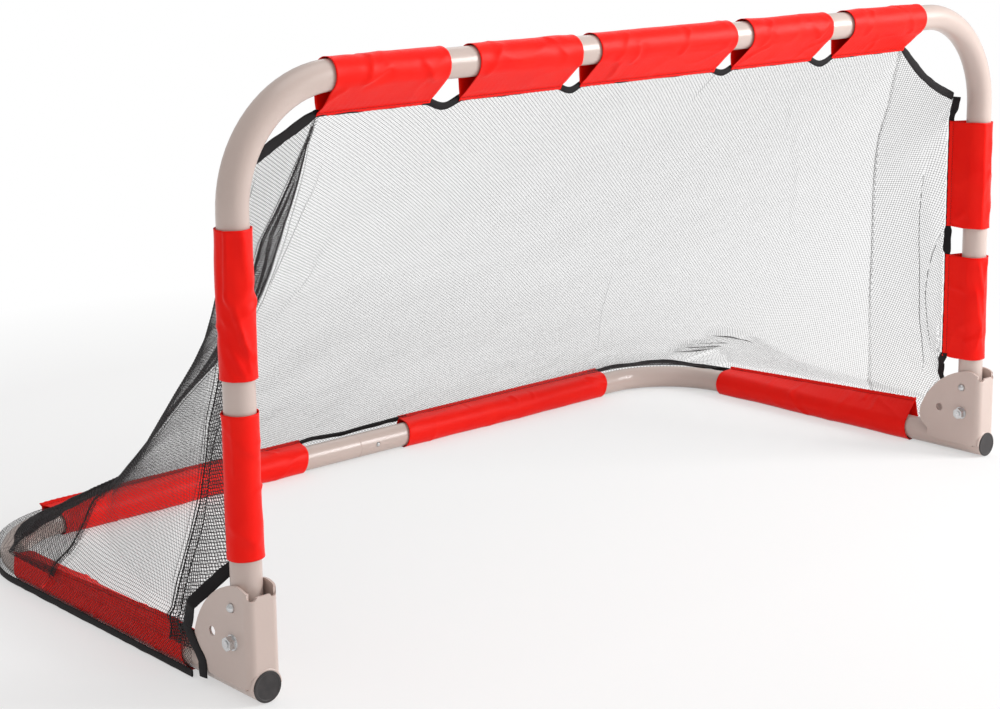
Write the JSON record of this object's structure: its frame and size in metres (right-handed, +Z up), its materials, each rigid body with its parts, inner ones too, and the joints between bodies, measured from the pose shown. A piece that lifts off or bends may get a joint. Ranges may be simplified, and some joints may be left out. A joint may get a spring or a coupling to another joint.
{
  "type": "hockey goal net",
  "caption": "Folding goal for street or floor hockey: a bent tube hoop hinged to a U-shaped base, with a black mesh net sewn to fabric sleeves.",
  "frame": {"origin": "on the floor, in the middle of the goal's length and depth", "axes": "+X across the mouth to the right as seen from the front, +Y to the back of the net, +Z up"},
  "size_m": [1.2388, 0.6109, 0.6121],
  "materials": {
    "white_powder_coat": "gloss powder coat, warm white",
    "black_plug_plastic": "moulded, satin",
    "zinc_plated_steel": "bright zinc",
    "spring_steel": "oiled spring strip",
    "red_sleeve_fabric": "satin polyester",
    "black_tape": "woven polyester tape",
    "black_net_mesh": "knotless knitted mesh"
  },
  "bodies": {
    "base": {"arm_sleeve_left": "red_sleeve_fabric", "arm_sleeve_right": "red_sleeve_fabric", "back_sleeve_left": "red_sleeve_fabric", "back_sleeve_right": "red_sleeve_fabric", "base_joint_spring": "spring_steel", "base_plug_left": "black_plug_plastic", "base_plug_right": "black_plug_plastic", "base_tube_left": "white_powder_coat", "base_tube_right": "white_powder_coat", "bracket_weld_left": "white_powder_coat", "bracket_weld_right": "white_powder_coat", "hinge_bracket_left": "white_powder_coat", "hinge_bracket_right": "white_powder_coat", "net_back_panel": "black_net_mesh", "net_corner_left": "black_net_mesh", "net_corner_right": "black_net_mesh", "net_front_tape_left": "black_tape", "net_front_tape_right": "black_tape", "net_hem_tape": "black_tape", "net_side_panel_left": "black_net_mesh", "net_side_panel_right": "black_net_mesh", "net_skirt": "black_net_mesh", "pivot_bolt_left": "zinc_plated_steel", "pivot_bolt_right": "zinc_plated_steel", "pivot_nut_left": "zinc_plated_steel", "pivot_nut_right": "zinc_plated_steel"},
    "hoop": {"crossbar_joint_spring": "spring_steel", "crossbar_sleeve_far_left": "red_sleeve_fabric", "crossbar_sleeve_far_right": "red_sleeve_fabric", "crossbar_sleeve_left": "red_sleeve_fabric", "crossbar_sleeve_middle": "red_sleeve_fabric", "crossbar_sleeve_right": "red_sleeve_fabric", "hoop_tube_left": "white_powder_coat", "hoop_tube_right": "white_powder_coat", "lock_spring_left": "spring_steel", "lock_spring_right": "spring_steel", "net_top_tape": "black_tape", "pivot_bush_left": "zinc_plated_steel", "pivot_bush_right": "zinc_plated_steel", "post_plug_left": "black_plug_plastic", "post_plug_right": "black_plug_plastic", "post_sleeve_left_high": "red_sleeve_fabric", "post_sleeve_left_low": "red_sleeve_fabric", "post_sleeve_right_high": "red_sleeve_fabric", "post_sleeve_right_low": "red_sleeve_fabric"},
    "lock_button_left_inner": {"lock_button_left_inner": "zinc_plated_steel"},
    "lock_button_left_outer": {"lock_button_left_outer": "zinc_plated_steel"},
    "lock_button_right_inner": {"lock_button_right_inner": "zinc_plated_steel"},
    "lock_button_right_outer": {"lock_button_right_outer": "zinc_plated_steel"},
    "base_joint_button": {"base_joint_button": "zinc_plated_steel"},
    "crossbar_joint_button": {"crossbar_joint_button": "zinc_plated_steel"}
  },
  "joints": [
    {"name": "hoop_fold", "type": "hinge", "parent": "base", "child": "hoop", "pos_m": [0, -0.2752, 0.0585], "axis": [-1, 0, 0], "range_deg": [0, 87], "deforming": ["net_back_panel", "net_side_panel_left", "net_side_panel_right", "net_corner_left", "net_corner_right", "net_front_tape_left", "net_front_tape_right", "lock_button_left_inner", "lock_button_left_outer", "lock_button_right_inner", "lock_button_right_outer"]},
    {"name": "lock_button_left_inner_press", "type": "slide", "parent": "hoop", "child": "lock_button_left_inner", "axis": [-1, 0, 0], "range_m": [0, 0.0075], "stiffness_N_per_m": 900, "springref_m": -0.004, "deforming": ["lock_spring_left"]},
    {"name": "lock_button_left_outer_press", "type": "slide", "parent": "hoop", "child": "lock_button_left_outer", "axis": [1, 0, 0], "range_m": [0, 0.0075], "stiffness_N_per_m": 900, "springref_m": -0.004, "deforming": ["lock_spring_left"]},
    {"name": "lock_button_right_inner_press", "type": "slide", "parent": "hoop", "child": "lock_button_right_inner", "axis": [1, 0, 0], "range_m": [0, 0.0075], "stiffness_N_per_m": 900, "springref_m": -0.004, "deforming": ["lock_spring_right"]},
    {"name": "lock_button_right_outer_press", "type": "slide", "parent": "hoop", "child": "lock_button_right_outer", "axis": [-1, 0, 0], "range_m": [0, 0.0075], "stiffness_N_per_m": 900, "springref_m": -0.004, "deforming": ["lock_spring_right"]},
    {"name": "base_joint_press", "type": "slide", "parent": "base", "child": "base_joint_button", "axis": [0, 1, 0], "range_m": [0, 0.0035], "stiffness_N_per_m": 900, "springref_m": -0.003, "deforming": ["base_joint_spring"]},
    {"name": "crossbar_joint_press", "type": "slide", "parent": "hoop", "child": "crossbar_joint_button", "axis": [0, 0, 1], "range_m": [0, 0.0035], "stiffness_N_per_m": 900, "springref_m": -0.003, "deforming": ["crossbar_joint_spring"]}
  ]
}
